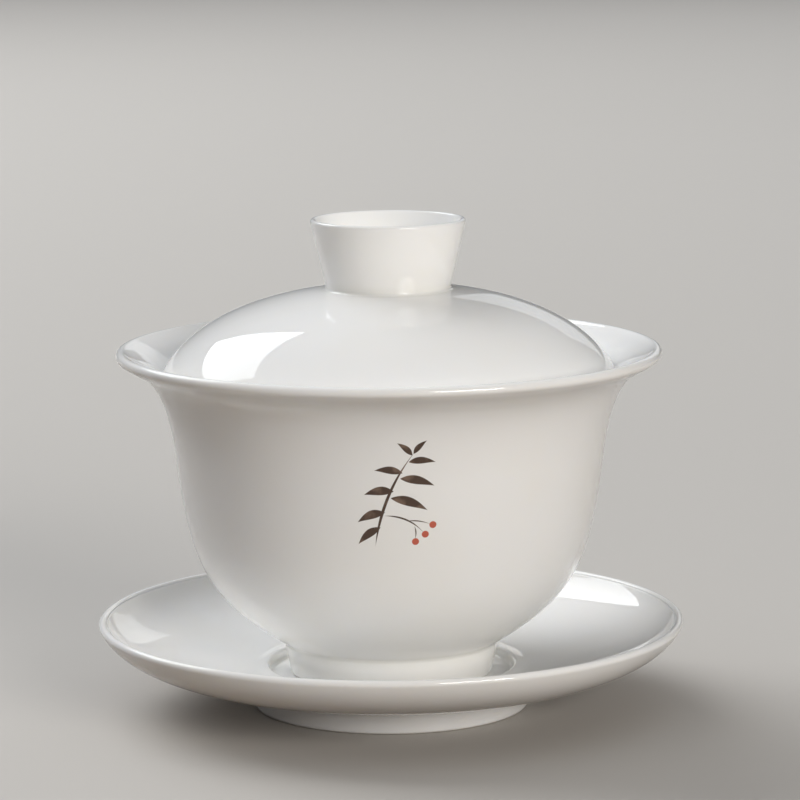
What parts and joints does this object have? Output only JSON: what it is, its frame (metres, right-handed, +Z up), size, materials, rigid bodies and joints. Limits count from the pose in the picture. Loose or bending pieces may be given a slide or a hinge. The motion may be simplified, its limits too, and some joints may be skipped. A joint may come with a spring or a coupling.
{
  "type": "gaiwan",
  "caption": "Lidded tea bowl of white glazed porcelain: a flared bowl stands in the well of a shallow saucer, under a domed lid with a hollow knob.",
  "frame": {"origin": "on the table under the middle of the saucer's foot ring", "axes": "+Z up along the common turning axis of the saucer, bowl and lid; +Y away from the viewer of the picture and +X to the viewer's right"},
  "size_m": [0.108, 0.108, 0.0904],
  "materials": {
    "saucer_porcelain": "clear gloss glaze over white porcelain, foot ring wiped bare",
    "bowl_porcelain": "clear gloss glaze over white porcelain, foot ring wiped bare",
    "lid_porcelain": "clear gloss glaze over white porcelain"
  },
  "bodies": {
    "saucer": {"saucer": "saucer_porcelain"},
    "bowl": {"bowl": "bowl_porcelain"},
    "lid": {"lid": "lid_porcelain"}
  },
  "joints": [
    {"name": "bowl_lift", "type": "slide", "parent": "saucer", "child": "bowl", "axis": [0, 0, 1], "range_m": [0, 0.035]},
    {"name": "lid_lift", "type": "slide", "parent": "bowl", "child": "lid", "axis": [0, 0, 1], "range_m": [0, 0.045]}
  ]
}
